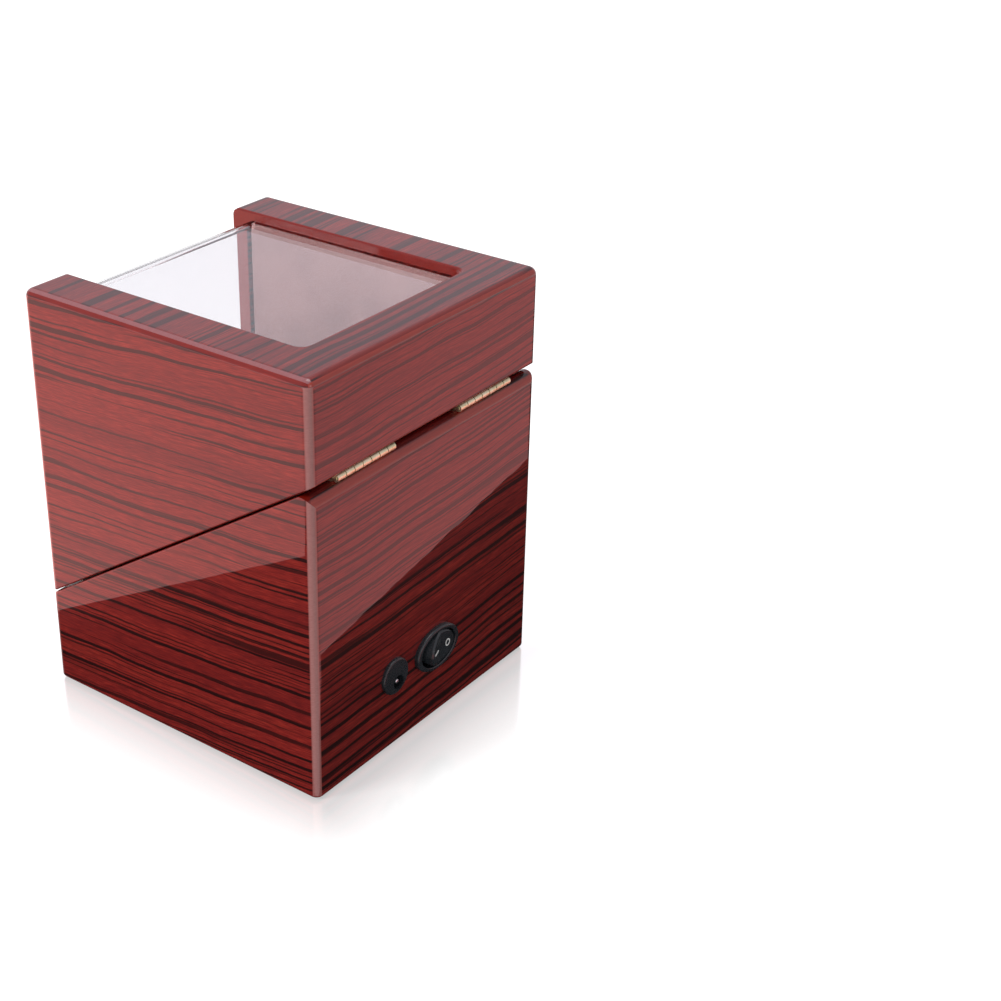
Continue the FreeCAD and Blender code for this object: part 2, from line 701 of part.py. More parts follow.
def switch_body():
    bezel = oval(BEZEL, SWITCH_X, SWITCH_Z, B, B + BEZEL_T)
    bezel = bezel.makeFillet(0.8, edges_where(bezel, lambda b: b.YMin > B + BEZEL_T - 0.1))
    body = bezel.fuse(oval(SWITCH_HOLE, SWITCH_X, SWITCH_Z, B - 14, B))
    for sz in (-1, 1):
        z0, z1 = sorted((SWITCH_Z + sz * (SWITCH_HOLE[1] - 1), SWITCH_Z + sz * (SWITCH_HOLE[1] + 0.8)))
        body = body.fuse(box(SWITCH_X - 2.5, SWITCH_X + 2.5, B - 8, B - PANEL_T, z0, z1))
    body = body.cut(oval(WELL, SWITCH_X, SWITCH_Z, PIVOT_Y - 5.2, B + 5)).removeSplitter()
    rim = edges_where(body, lambda b: b.YMin > B + BEZEL_T - 0.1 and b.XLength < 2 * WELL[0] + 0.1)
    body = body.makeFillet(0.4, rim)
    sockets = rod(1.0, SWITCH_X, PIVOT_Y, SWITCH_Z - SWITCH_HOLE[1], SWITCH_Z + SWITCH_HOLE[1])
    return body.cut(sockets)


def switch_rocker():
    """Rocker with a shallow vee across its face, at rest with the +x end raised."""
    past = ROCKER[0] + 1
    rise = past * math.tan(math.radians(ROCKER_TILT))
    top = ROCKER_VEE + rise
    outline = [(-past, -3), (past, -3), (past, top), (0, ROCKER_VEE), (-past, top)]
    cap = prism(outline, -past, past).common(oval(ROCKER, 0, 0, -5, 15))
    crown = edges_where(cap, lambda b: b.YMin > ROCKER_VEE - 0.1 and b.XLength > 1)
    cap = cap.makeChamfer(ROCKER_CHAMFER, crown)
    pin = SWITCH_HOLE[1] - 0.15
    cap = cap.fuse(rod(0.95, 0, 0, -pin, pin)).removeSplitter()
    turn = FreeCAD.Rotation(V(0, 0, 1), ROCKER_TILT)
    return cap.transformed(FreeCAD.Placement(V(SWITCH_X, PIVOT_Y, SWITCH_Z), turn).Matrix, True)


def switch_terminals():
    y1 = B - 14
    blade = box(SWITCH_X - 0.4, SWITCH_X + 0.4, y1 - 7, y1, SWITCH_Z - 2.4, SWITCH_Z + 2.4)
    return Part.makeCompound([at(blade, x, 0, 0) for x in (-5, 5)])


def socket_body():
    disc = peg(SOCKET_R, SOCKET_X, SOCKET_Z, B, B + SOCKET_T)
    disc = disc.makeFillet(0.6, edges_where(disc, lambda b: b.YMin > B + SOCKET_T - 0.1))
    body = disc.fuse(peg(BARREL_R, BORE_X, BORE_Z, B - 12.5, B)).removeSplitter()
    return body.cut(peg(BORE_R, BORE_X, BORE_Z, B + SOCKET_T - BORE_DEPTH, B + 5))


def socket_pin():
    y0 = B + SOCKET_T - BORE_DEPTH
    pin = peg(SOCKET_PIN_R, BORE_X, BORE_Z, y0, B + SOCKET_T - 0.6)
    return pin.makeFillet(0.6, edges_where(pin, lambda b: b.YMin > y0 + 1))


def socket_nut():
    y1 = B - PANEL_T
    turns = [i * math.pi / 3 for i in range(7)]
    corners = [V(BORE_X + 7.5 * math.cos(a), y1 - 2.5, BORE_Z + 7.5 * math.sin(a)) for a in turns]
    face = Part.Face(Part.makePolygon(corners))
    return face.extrude(V(0, 2.5, 0)).cut(peg(BARREL_R, BORE_X, BORE_Z, 0, B))


def socket_lugs():
    y1 = B - 12.5
    lug = box(BORE_X - 1.2, BORE_X + 1.2, y1 - 5, y1, BORE_Z - 0.25, BORE_Z + 0.25)
    return Part.makeCompound([at(lug, x, 0, 0) for x in (-2.2, 2.2)])


def pcb_spots():
    return [(PCB_X + sx * (PCB_W / 2 - 4), PCB_Y + sy * (PCB_D / 2 - 4)) for sx in (-1, 1) for sy in (-1, 1)]


def control_board():
    z0 = FLOOR_Z + PCB_POST
    board = box(PCB_X - PCB_W / 2, PCB_X + PCB_W / 2, PCB_Y - PCB_D / 2, PCB_Y + PCB_D / 2, z0, z0 + PCB_T)
    return board.cut([rod(1.25, x, y, 0, 40) for x, y in pcb_spots()])


def board_posts():
    posts = []
    for x, y in pcb_spots():
        post = rod(3.0, x, y, FLOOR_Z, FLOOR_Z + PCB_POST)
        posts.append(post.cut(rod(1.25, x, y, FLOOR_Z + 1, 40)))
    return Part.makeCompound(posts)


def board_screws():
    z0 = FLOOR_Z + PCB_POST + PCB_T
    screws = []
    for x, y in pcb_spots():
        head = rod(2.4, x, y, z0, z0 + 1.6)
        screw_solid = head.fuse(rod(1.25, x, y, FLOOR_Z + 1.5, z0))
        screws.append(screw_solid.cut(box(x - 3, x + 3, y - 0.35, y + 0.35, z0 + 0.9, z0 + 3)))
    return Part.makeCompound(screws)


def board_parts():
    z0 = FLOOR_Z + PCB_POST + PCB_T
    chip = box(PCB_X - 5, PCB_X + 5, PCB_Y - 3.2, PCB_Y + 3.2, z0, z0 + 1.8)
    driver = box(PCB_X + 10, PCB_X + 16, PCB_Y - 5, PCB_Y + 5, z0, z0 + 1.6)
    drums = [rod(r, PCB_X + x, PCB_Y - 10, z0, z0 + h) for r, x, h in ((4.0, -6, 8.5), (2.5, 4, 6.0))]
    plugs = [box(PCB_X + x - 5, PCB_X + x + 5, PCB_Y + 10, PCB_Y + 15.5, z0, z0 + 6.5) for x in (-12, 2)]
    return Part.makeCompound([chip, driver] + drums + plugs)


def lead(points):
    """Round wire along straight runs, joined by arcs as large as the runs leave room for."""
    points = [V(*p) for p in points]
    edges = []
    here = points[0]
    for before, corner, after in zip(points, points[1:], points[2:]):
        run = 0.45 * min((corner - before).Length, (after - corner).Length)
        back = (before - corner).normalize()
        on = (after - corner).normalize()
        half = back.getAngle(on) / 2
        inward = (back + on).normalize()
        middle = corner + inward * (run / math.cos(half) - run * math.tan(half))
        edges.append(Part.makeLine(here, corner + back * run))
        edges.append(Part.Arc(corner + back * run, middle, corner + on * run).toShape())
        here = corner + on * run
    edges.append(Part.makeLine(here, points[-1]))
    ring = Part.Wire([Part.makeCircle(LEAD_R, points[0], points[1] - points[0])])
    return Part.Wire(edges).makePipeShell([ring], True, False)


def plug_end(index):
    """Leaves the board's plugs straight towards the back before it bends."""
    z = FLOOR_Z + PCB_POST + PCB_T + 3
    x = PCB_X - 14 + 4.5 * index
    y = PCB_Y + 15.7
    return [(x, y + 9, z), (x, y, z)]


def leads():
    """Leads from motor, switch and socket to the board, and the one from switch to socket."""
    top = BRACKET_UNDER - GEARBOX_T - MOTOR_T - 5.2
    tab_y = B - 21.2
    lug_y = B - 17.7
    wires = []
    for i in range(2):
        p = TILT.multVec(V(MOTOR_X - 5 + 10 * i, CUP_S, top))
        q = TILT.multVec(V(MOTOR_X - 5 + 10 * i, CUP_S, top - 4))
        wires.append(lead([p, q, (q.x + 14, q.y - 14, 17)] + plug_end(i)))
    tab = [(SWITCH_X + 5, tab_y - d, SWITCH_Z) for d in (0, 4)]
    wires.append(lead(tab + [(8, 22, 20)] + plug_end(2)))
    lug = [(BORE_X + 2.2, lug_y - d, BORE_Z) for d in (0, 4)]
    wires.append(lead(lug + [(24, 22, 20)] + plug_end(3)))
    start = [(SWITCH_X - 5, tab_y - d, SWITCH_Z) for d in (0, 4)]
    finish = [(BORE_X - 2.2, lug_y - d, BORE_Z) for d in (4, 0)]
    wires.append(lead(start + [(6, tab_y - 12, SWITCH_Z - 10)] + finish))
    return Part.makeCompound(wires)


def build():
    right, back, left, front = base_boards()
    frame, lid_right, lid_left, lid_back, stile_right, stile_left, rail = lid_boards()
    lining_right, lining_left, lining_back = lid_linings()
    return {
        "base_right_board": right, "base_left_board": left,
        "base_back_board": back, "base_front_board": front,
        "base_bottom_board": bottom_board(), "base_glue_blocks": glue_blocks(), "base_felt": base_felt(),
        "bottom_screws": Part.makeCompound(bottom_screw_tool(True)), "rim_bumpers": rim_bumpers(),
        "lid_top_frame": frame, "lid_right_board": lid_right, "lid_left_board": lid_left,
        "lid_back_board": lid_back, "lid_right_stile": stile_right, "lid_left_stile": stile_left,
        "lid_front_rail": rail, "lid_right_lining": lining_right, "lid_left_lining": lining_left,
        "lid_back_lining": lining_back, "window_pane": pane_profile(0),
        "hinge_base_leaves": hinge_leaves(False), "hinge_lid_leaves": hinge_leaves(True),
        "hinge_pins": hinge_pins(), "hinge_base_screws": hinge_screws(False),
        "hinge_lid_screws": hinge_screws(True),
        "platform_board": platform_board(), "platform_cleats": platform_cleats(),
        "platform_velvet": platform_slab(PLATFORM_TOP - VELVET_T, PLATFORM_TOP),
        "platform_screws": tilted(Part.makeCompound(cleat_screws(True))),
        "drum_cup": drum_cup(), "drum_ring": drum_ring(), "drum_insert": drum_insert(),
        "drum_axle": drum_axle(), "axle_clip": axle_clip(), "drum_gear": drum_gear(),
        "drum_gear_screws": drum_gear_screws(), "watch_cushion": watch_cushion(),
        "motor_bracket": motor_bracket(), "bracket_standoffs": bracket_standoffs(),
        "bracket_screws": bracket_screws(), "shaft_bush": shaft_bush(), "gearbox_housing": gearbox_housing(),
        "gearbox_shaft": gearbox_shaft(), "motor_pinion": motor_pinion(), "motor_can": motor_can(),
        "motor_cap": motor_cap(), "motor_screws": motor_screws(),
        "switch_body": switch_body(), "switch_rocker": switch_rocker(),
        "switch_terminals": switch_terminals(),
        "socket_body": socket_body(), "socket_pin": socket_pin(), "socket_nut": socket_nut(),
        "socket_lugs": socket_lugs(),
        "control_board": control_board(), "board_posts": board_posts(), "board_screws": board_screws(),
        "board_parts": board_parts(), "leads": leads(),
    }


os.makedirs("parts", exist_ok=True)
for name, shape in build().items():
    shape.translate(SHIFT)
    shape.exportStep("parts/" + name + ".step")
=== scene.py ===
import json
import math

import bmesh
import bpy
from mathutils import Matrix, Vector


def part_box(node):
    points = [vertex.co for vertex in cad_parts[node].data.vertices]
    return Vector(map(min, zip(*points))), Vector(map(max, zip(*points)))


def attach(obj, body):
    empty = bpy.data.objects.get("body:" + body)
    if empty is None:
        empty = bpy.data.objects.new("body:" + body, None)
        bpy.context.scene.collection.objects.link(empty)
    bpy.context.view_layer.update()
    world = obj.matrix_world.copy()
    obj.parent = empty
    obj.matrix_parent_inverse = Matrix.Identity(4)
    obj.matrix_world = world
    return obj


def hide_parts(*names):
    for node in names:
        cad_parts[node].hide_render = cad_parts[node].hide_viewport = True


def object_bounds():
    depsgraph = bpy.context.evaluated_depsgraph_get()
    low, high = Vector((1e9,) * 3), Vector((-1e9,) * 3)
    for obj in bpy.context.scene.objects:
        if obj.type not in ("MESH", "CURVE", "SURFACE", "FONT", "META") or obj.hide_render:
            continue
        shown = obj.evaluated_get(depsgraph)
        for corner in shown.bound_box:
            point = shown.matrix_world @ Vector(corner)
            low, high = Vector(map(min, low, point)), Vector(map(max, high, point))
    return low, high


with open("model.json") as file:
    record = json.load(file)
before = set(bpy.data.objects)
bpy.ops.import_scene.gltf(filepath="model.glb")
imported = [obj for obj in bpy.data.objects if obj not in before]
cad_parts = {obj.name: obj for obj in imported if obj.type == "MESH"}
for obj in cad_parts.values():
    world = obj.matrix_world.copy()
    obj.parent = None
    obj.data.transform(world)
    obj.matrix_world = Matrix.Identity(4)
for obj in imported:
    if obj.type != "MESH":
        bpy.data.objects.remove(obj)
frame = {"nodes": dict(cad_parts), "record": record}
NODES = frame["nodes"]
CAD_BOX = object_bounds()
MM = 0.001

# Camera, fitted to the box edges: angles in degrees, lengths in metres
CAMERA_AZIMUTH = 127.493
CAMERA_ELEVATION = 27.728
CAMERA_ROLL = 0.149
CAMERA_DISTANCE = 0.71856
CAMERA_LENS = 65.5
CAMERA_SHIFT = (0.1004, -0.0105)
AIM_RIGHT = 0.043185
AIM_UP = -0.004224

# Wood: stripe spacing is in stripes per metre, and the veneer is laid a little out of level
BAND_RATE = 75.0
SIDE_LINES = 440.0
BACK_LINES = 400.0
TOP_LINES = 300.0
FIBRE_RATE = 2600.0
STRIPE_STRETCH = 0.008
FIBRE_STRETCH = 0.05
SIDE_SLANT = 0.075
BACK_SLANT = -0.03
TOP_SLANT = 0.02
VENEER_WAVES = ((8.0, 0.009), (34.0, 0.0020), (190.0, 0.0004))
THIN_LINES = 2.2
LEVEL_SHARE = 0.6
BAND_PULL = 0.26
FIBRE_PULL = 0.12
BACK_CROWDING = 0.02
BOARD_DARKNESS = 0.95
TOP_DARKNESS = 0.78
# Distance from the middle, in metres, out to which the top frame's rounding is the opening's, and its fade
OPENING_REACH = (0.058, 0.060)
ALONG_X = ("base_back_board", "base_front_board", "lid_back_board", "lid_front_rail",
           "lid_right_stile", "lid_left_stile")
ALONG_Y = ("base_right_board", "base_left_board", "lid_right_board", "lid_left_board")

# Rocker and its marks
ROCKER_TILT = math.radians(10.0)
ROCKER_VEE = 5.245 * MM
ROCKER_REACH = 9.3 * MM
MARK_LIFT = 0.06 * MM
BAR_LENGTH = 4.4 * MM
BAR_WIDTH = 0.75 * MM
RING_RADIUS = 1.45 * MM
RING_WIDTH = 0.5 * MM
RING_STEPS = 40
RING_STRETCH = 1.12

# Watch cushion
CUSHION_SHRINK = 0.93
CUSHION_CAP = 2.2 * MM
CUSHION_VOXEL = 2.4 * MM
CUSHION_CUTS = 15
PILLOW_POWER = 4.0
DRAW_ENDS = 0.045
DRAW_SIDES = 0.03
CROWN_DROP = 0.16
WAIST_DROP = 0.10
PUFF_PRESSURE = 4.0
PUFF_STEPS = 15

# Window: the bend is made to refract less than the flats
PANE_IOR = 1.49
BEND_IOR = 1.10

# Light: gloss sees a pale backdrop behind the box, a dimmer room and cards in place of the table
SKY_LEVEL = 0.35
ROOM_GLOSS = 0.55
BACKDROP_GLOSS = 0.62
BACKDROP_TINT = (1.04, 0.98, 1.07, 1)
BACKDROP_WAY = (-0.2, -0.98)
FLOOR_LIFT = 0.85
PANE_LIFT = 0.70
MIRROR_LIFT = 0.45
FLOOR_MIRROR = 0.62
MIRROR_REACH = 0.055
FLOOR_SIZE = 8.0
FLOOR_DROP = 0.0002
LIGHT_AIM = Vector((0, 0, 0.08))
SIDE_GLOW = (1.85, 0.90, 0.85, 1)
BACK_GLOW = (1.47, 0.57, 0.57, 1)
TABLE_GLOW = (1, 1, 1, 1)
FLAG_GLOW = (0.02, 0.02, 0.02, 1)
# The sheen's lower edge on the side, as y and z, and on the back, as x and z, both in mm
SIDE_SHEEN = ((-63.6, 34.6), (66.7, 105.2))
BACK_SHEEN = ((66.2, 63.6), (-65.7, 90.4))
CARD_OVERRUN = 0.4
CARD_REACH = 3.0
FLAG_REACH = 0.5
CARD_DEPTH = 0.0006
FLAG_DEPTH = 0.0008
TABLE_DEPTH = 0.001
TABLE_HALF = 4

# The cut between base and lid climbs from front to back, heights and depth in mm
CUT_FRONT = 39.8
CUT_BACK = 130.2
CUT_RUN = 137.5
SLOPE = math.atan2(CUT_BACK - CUT_FRONT, CUT_RUN)
UP_SLOPE = Vector((0, math.cos(SLOPE), math.sin(SLOPE)))
OUT_OF_SLOPE = Vector((0, -math.sin(SLOPE), math.cos(SLOPE)))


def srgb(r, g, b):
    """Colour from 0 to 255 screen values."""
    def linear(c):
        c = c / 255
        return c / 12.92 if c <= 0.04045 else ((c + 0.055) / 1.055) ** 2.4
    return (linear(r), linear(g), linear(b), 1.0)


class Graph:
    """Short hand for the nodes of one material, or of the world."""

    def __init__(self, name, owner=None):
        self.material = owner or bpy.data.materials.new(name)
        self.material.use_nodes = True
        self.nodes = self.material.node_tree.nodes
        self.links = self.material.node_tree.links
        self.shader = self.nodes.get("Principled BSDF")
        self.output = self.nodes.get("Material Output")

    def add(self, kind, inputs=None, **settings):
        node = self.nodes.new("ShaderNode" + kind)
        for key, value in settings.items():
            setattr(node, key, value)
        for key, value in (inputs or {}).items():
            self.feed(node.inputs[key], value)
        return node

    def feed(self, socket, value):
        if isinstance(value, bpy.types.NodeSocket):
            self.links.new(value, socket)
        else:
            socket.default_value = value

    def set(self, **values):
        for key, value in values.items():
            self.feed(self.shader.inputs[key.replace("_", " ")], value)

    def math(self, operation, a, b=0.0):
        return self.add("Math", {0: a, 1: b}, operation=operation).outputs[0]

    def place(self):
        """Place on the object, as x, y and z in metres."""
        split = self.add("SeparateXYZ", {0: self.add("TexCoord").outputs["Object"]})
        return split.outputs

    def vector(self, x, y, z):
        return self.add("CombineXYZ", {0: x, 1: y, 2: z}).outputs[0]

    def noise(self, vector, scale, detail=2.0, roughness=0.5):
        inputs = {"Vector": vector, "Scale": scale, "Detail": detail, "Roughness": roughness}
        return self.add("TexNoise", inputs).outputs["Fac"]

    def ramp(self, value, *stops):
        """Colour or grey value by stops of (place, colour)."""
        node = self.add("ValToRGB", {0: value})
        points = node.color_ramp.elements
        while len(points) < len(stops):
            points.new(1.0)
        for point, (place, colour) in zip(points, stops):
            point.position = place
            point.color = colour if isinstance(colour, tuple) else (colour, colour, colour, 1)
        return node.outputs[0]

    def mix(self, factor, a, b):
        node = self.add("Mix", data_type="RGBA")
        self.feed(node.inputs["Factor"], factor)
        self.feed(node.inputs[6], a)
        self.feed(node.inputs[7], b)
        return node.outputs[2]

    def bump(self, height, strength, distance):
        inputs = {"Height": height, "Strength": strength, "Distance": distance}
        return self.add("Bump", inputs).outputs[0]


def rosewood(name, along, slant, line_rate, crowding, darkness, top=False):
    """Striped red veneer under thick clear lacquer, with its grain along one axis, and a painted pale
    sheen on its rounded corners.
    """
    g = Graph(name)
    x, y, z = g.place()
    run, side = (x, y) if along == "x" else (y, x)
    across, level = (side, z) if top else (z, side)
    spot = g.vector(run, across, level)
    stripe = g.math("ADD", across, g.math("MULTIPLY", run, -slant))
    for rate, reach in VENEER_WAVES:
        wave = g.math("SUBTRACT", g.noise(spot, rate, 1.0), 0.5)
        stripe = g.math("ADD", stripe, g.math("MULTIPLY", wave, reach))
    depth = g.math("MULTIPLY", level, LEVEL_SHARE)
    long_way = g.vector(g.math("MULTIPLY", run, STRIPE_STRETCH), stripe, depth)
    short_way = g.vector(g.math("MULTIPLY", run, FIBRE_STRETCH), stripe, depth)
    band = g.noise(long_way, BAND_RATE, 1.0)
    fibre = g.noise(short_way, FIBRE_RATE, 2.0, 0.6)
    ragged = g.math("MULTIPLY", g.math("SUBTRACT", fibre, 0.5), FIBRE_PULL)
    crowd = g.math("ADD", g.math("MULTIPLY", g.math("SUBTRACT", band, 0.5), BAND_PULL), ragged)
    crowd = g.math("ADD", crowd, crowding)
    broad = g.math("ADD", g.noise(long_way, line_rate, 0.0), crowd)
    thin = g.math("ADD", g.noise(long_way, THIN_LINES * line_rate, 0.0), crowd)
    broad = g.ramp(broad, (0.60, 0.0), (0.64, 1.0))
    thin = g.ramp(thin, (0.63, 0.0), (0.69, 0.85))
    shade = g.ramp(band, (0.58, 0.0), (0.75, 0.40))
    dark = g.math("MAXIMUM", g.math("MAXIMUM", broad, thin), shade)
    tone = g.math("ADD", g.math("MULTIPLY", band, 0.35), g.math("MULTIPLY", fibre, 0.65))
    red = g.ramp(tone, (0.34, srgb(92, 20, 22)), (0.50, srgb(124, 30, 27)), (0.66, srgb(158, 46, 36)))
    veneer = g.mix(g.math("MULTIPLY", dark, darkness), red, srgb(30, 10, 11))
    facing = g.add("SeparateXYZ", {0: g.add("TexCoord").outputs["Normal"]}).outputs
    flat = [g.math("ABSOLUTE", facing[i]) for i in range(3)]
    painted_sheen, cut, rim = top_edges(g, flat, x) if top else board_edges(g, flat, along)
    # Painted sheen: the rounded corners get a pale pink colour that stands in for the lacquer's reflection
    painted_sheen_low = srgb(134, 76, 79) if top else srgb(154, 86, 82)
    painted_sheen_high = srgb(156, 100, 103) if top else srgb(176, 114, 110)
    painted_sheen_edge = g.mix(fibre, painted_sheen_low, painted_sheen_high)
    cut_edge = g.mix(fibre, srgb(100, 10, 5), srgb(140, 28, 13))
    rim_edge = g.mix(fibre, srgb(142, 42, 32), srgb(178, 64, 48))
    colour = g.mix(rim, g.mix(cut, g.mix(painted_sheen, veneer, painted_sheen_edge), cut_edge), rim_edge)
    skin = g.noise(g.vector(x, y, z), 70.0, 1.0)
    g.set(Base_Color=colour, Roughness=0.42, Specular_IOR_Level=0.1,
          Coat_Weight=1.0, Coat_Roughness=0.012, Coat_IOR=1.52, Coat_Normal=g.bump(skin, 0.012, 0.002))
    return g.material


def board_edges(g, flat, along):
    """Masks of a board's rounded corners, which get a painted pale sheen, its plain red cut faces and its
    warm red rounded rims.
    """
    level = flat[2]
    upright = g.ramp(level, (0.20, 1.0), (0.30, 0.0))
    corner = g.ramp(g.math("MAXIMUM", flat[0], flat[1]), (0.95, 1.0), (0.985, 0.0))
    # The first mask picks the upright rounded corners for the painted sheen
    painted_sheen = g.math("MULTIPLY", corner, upright)
    if along == "y":
        return painted_sheen, g.ramp(level, (0.30, 0.0), (0.45, 1.0)), 0.0
    tilted = g.math("SUBTRACT", 1.0, upright)
    rim = g.math("MULTIPLY", tilted, g.ramp(level, (0.75, 1.0), (0.82, 0.0)))
    return painted_sheen, g.ramp(flat[0], (0.95, 0.0), (0.985, 1.0)), rim


def top_edges(g, flat, x):
    """Masks of the top frame's outer rounding, which gets a painted pale sheen, and of the red rounding
    round its opening.
    """
    full, none = OPENING_REACH
    inside = g.ramp(g.math("ABSOLUTE", x), (full, 1.0), (none, 0.0))
    rounded = g.ramp(flat[2], (0.95, 1.0), (0.985, 0.0))
    sideways = g.ramp(flat[0], (0.10, 0.0), (0.20, 1.0))
    outside = g.math("MULTIPLY", g.math("SUBTRACT", 1.0, inside), sideways)
    # The first mask, the outer rounding outside the opening, carries the painted sheen
    return g.math("MULTIPLY", rounded, outside), g.math("MULTIPLY", rounded, inside), 0.0


def raw_board():
    g = Graph("raw_board")
    x, y, z = g.place()
    chips = g.noise(g.vector(x, y, z), 900.0, 4.0)
    colour = g.ramp(chips, (0.3, srgb(150, 118, 84)), (0.7, srgb(188, 156, 118)))
    g.set(Base_Color=colour, Roughness=0.85, Normal=g.bump(chips, 0.25, 0.0004))
    return g.material


def felt():
    g = Graph("felt")
    x, y, z = g.place()
    wool = g.noise(g.vector(x, y, z), 1500.0, 5.0, 0.7)
    colour = g.ramp(wool, (0.3, srgb(24, 22, 24)), (0.7, srgb(52, 48, 50)))
    g.set(Base_Color=colour, Roughness=0.95, Sheen_Weight=0.4, Normal=g.bump(wool, 0.5, 0.0006))
    return g.material


def velvet(name, low, high):
    """Short pile with a fine speckle and soft patches where the nap lies over."""
    g = Graph(name)
    x, y, z = g.place()
    pile = g.noise(g.vector(x, y, z), 1700.0, 3.0, 0.65)
    nap = g.noise(g.vector(x, y, z), 55.0, 2.0)
    tone = g.math("ADD", g.math("MULTIPLY", pile, 0.7), g.math("MULTIPLY", nap, 0.3))
    g.set(Base_Color=g.ramp(tone, (0.34, low), (0.66, high)), Roughness=0.9, Specular_IOR_Level=0.15,
          Sheen_Weight=0.35, Sheen_Roughness=0.45, Sheen_Tint=(0.95, 0.88, 0.86, 1),
          Normal=g.bump(pile, 0.3, 0.0005))
    return g.material


def clear_acrylic():
    """Clear sheet that lets light through to the inside, with a calmer bend between its two flats."""
    g = Graph("clear_acrylic")
    x, y, z = g.place()
    wipe = g.noise(g.vector(x, g.math("MULTIPLY", y, 0.2), z), 40.0, 3.0)
    g.set(Base_Color=(0.955, 0.955, 0.975, 1), Transmission_Weight=1.0,
          Roughness=g.ramp(wipe, (0.62, 0.0), (0.9, 0.015)))
    lets_light = g.add("BsdfTransparent", {"Color": (0.94, 0.93, 0.955, 1)}).outputs[0]
    shadow = g.add("LightPath").outputs["Is Shadow Ray"]
    facing = g.add("SeparateXYZ", {0: g.add("TexCoord").outputs["Normal"]}).outputs
    tilted = g.math("MINIMUM", g.math("ABSOLUTE", facing[1]), g.math("ABSOLUTE", facing[2]))
    bend = g.ramp(tilted, (0.01, 0.0), (0.10, 1.0))
    g.set(IOR=g.math("SUBTRACT", PANE_IOR, g.math("MULTIPLY", bend, PANE_IOR - BEND_IOR)))
    both = g.add("MixShader", {0: shadow, 1: g.shader.outputs[0], 2: lets_light}).outputs[0]
    g.feed(g.output.inputs["Surface"], both)
    return g.material


def clear_rubber():
    g = Graph("clear_rubber")
    x, y, z = g.place()
    haze = g.noise(g.vector(x, y, z), 400.0, 2.0)
    g.set(Base_Color=(0.86, 0.86, 0.84, 1), Transmission_Weight=0.7, IOR=1.45,
          Roughness=g.ramp(haze, (0.3, 0.25), (0.7, 0.45)))
    return g.material


def metal(name, low, high, smooth, rough, scale):
    """Metal with tarnish patches and fine wear in its gloss."""
    g = Graph(name)
    x, y, z = g.place()
    patch = g.noise(g.vector(x, y, z), scale, 4.0, 0.6)
    grit = g.noise(g.vector(x, y, z), 2600.0, 2.0)
    gloss = g.math("ADD", g.math("MULTIPLY", patch, 0.6), g.math("MULTIPLY", grit, 0.4))
    g.set(Base_Color=g.ramp(patch, (0.32, low), (0.68, high)), Metallic=1.0,
          Roughness=g.ramp(gloss, (0.3, smooth), (0.7, rough)), Normal=g.bump(grit, 0.08, 0.0002))
    return g.material


def plastic(name, low, high, smooth, rough):
    """Moulded plastic with a fine spark-eroded grain."""
    g = Graph(name)
    x, y, z = g.place()
    grain = g.noise(g.vector(x, y, z), 1400.0, 3.0, 0.6)
    cloud = g.noise(g.vector(x, y, z), 90.0, 2.0)
    g.set(Base_Color=g.ramp(cloud, (0.3, low), (0.7, high)),
          Roughness=g.ramp(grain, (0.3, smooth), (0.7, rough)), Normal=g.bump(grain, 0.12, 0.0003))
    return g.material


def circuit_board():
    g = Graph("circuit_board")
    x, y, z = g.place()
    cells = g.add("TexVoronoi", {"Vector": g.vector(x, y, z), "Scale": 320.0}, distance="CHEBYCHEV")
    weave = g.noise(g.vector(x, y, z), 2200.0, 2.0)
    track = g.ramp(cells.outputs["Distance"], (0.42, srgb(16, 62, 34)), (0.46, srgb(34, 98, 54)))
    g.set(Base_Color=track, Roughness=g.ramp(weave, (0.3, 0.3), (0.7, 0.45)))
    return g.material


def dress_nodes():
    """Gives every carried-over node its slot's material, and the boards their veneer."""
    made = {
        "raw_board": raw_board(),
        "felt": felt(),
        "velvet": velvet("velvet", srgb(125, 99, 96), srgb(166, 135, 130)),
        "cushion_velvet": velvet("cushion_velvet", srgb(129, 104, 100), srgb(170, 141, 135)),
        "clear_acrylic": clear_acrylic(),
        "clear_rubber": clear_rubber(),
        "brass": metal("brass", srgb(222, 214, 172), srgb(248, 243, 214), 0.40, 0.54, 260.0),
        "steel": metal("steel", srgb(168, 168, 172), srgb(214, 214, 218), 0.2, 0.36, 320.0),
        "trim_metal": metal("trim_metal", srgb(208, 202, 194), srgb(224, 218, 209), 0.14, 0.2, 160.0),
        "black_plastic": plastic("black_plastic", srgb(36, 40, 44), srgb(46, 51, 56), 0.22, 0.36),
        "white_nylon": plastic("white_nylon", srgb(222, 220, 212), srgb(240, 238, 231), 0.4, 0.55),
        "circuit_board": circuit_board(),
        "lead_insulation": plastic("lead_insulation", srgb(120, 18, 18), srgb(150, 26, 24), 0.35, 0.5),
    }
    for part in frame["record"]["subparts"]:
        slot = part["material_slot"]
        if slot in made:
            paint(NODES[part["node"]], made[slot])
    side_wood = rosewood("rosewood_along_y", "y", SIDE_SLANT, SIDE_LINES, 0.0, BOARD_DARKNESS)
    back_wood = rosewood("rosewood_along_x", "x", BACK_SLANT, BACK_LINES, BACK_CROWDING, BOARD_DARKNESS)
    top_wood = rosewood("rosewood_top", "x", TOP_SLANT, TOP_LINES, 0.0, TOP_DARKNESS, True)
    for name in ALONG_Y:
        paint(NODES[name], side_wood)
    for name in ALONG_X:
        paint(NODES[name], back_wood)
    paint(NODES["lid_top_frame"], top_wood)
    return made


def paint(obj, material):
    obj.data.materials.clear()
    obj.data.materials.append(material)


def mesh_piece(name, bm, material, body):
    """New piece from a mesh in the making, riding a body."""
    mesh = bpy.data.meshes.new(name)
    bm.to_mesh(mesh)
    bm.free()
    obj = bpy.data.objects.new(name, mesh)
    bpy.context.collection.objects.link(obj)
    mesh.materials.append(material)
    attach(obj, body)
    return obj


